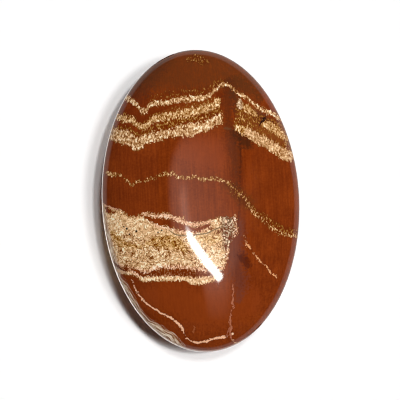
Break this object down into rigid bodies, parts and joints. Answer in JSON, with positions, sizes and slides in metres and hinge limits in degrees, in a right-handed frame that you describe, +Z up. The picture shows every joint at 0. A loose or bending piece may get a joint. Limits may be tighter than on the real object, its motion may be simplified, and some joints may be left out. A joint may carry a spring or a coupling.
{
  "type": "red jasper palm stone",
  "caption": "Polished oval palm stone of red jasper with cream and golden bands, shallow dome on both sides, rests on a small flat spot.",
  "frame": {"origin": "middle of the small flat spot on the underside, on the surface that the stone lies on", "axes": "+Y along the long axis, towards the end at the top of the picture; +X along the short axis; +Z up through the crown"},
  "size_m": [0.041, 0.063, 0.015],
  "materials": {
    "red_jasper": "mirror-polished brick-red jasper with grainy cream and ochre bands"
  },
  "bodies": {
    "root": {"stone": "red_jasper"}
  },
  "joints": []
}
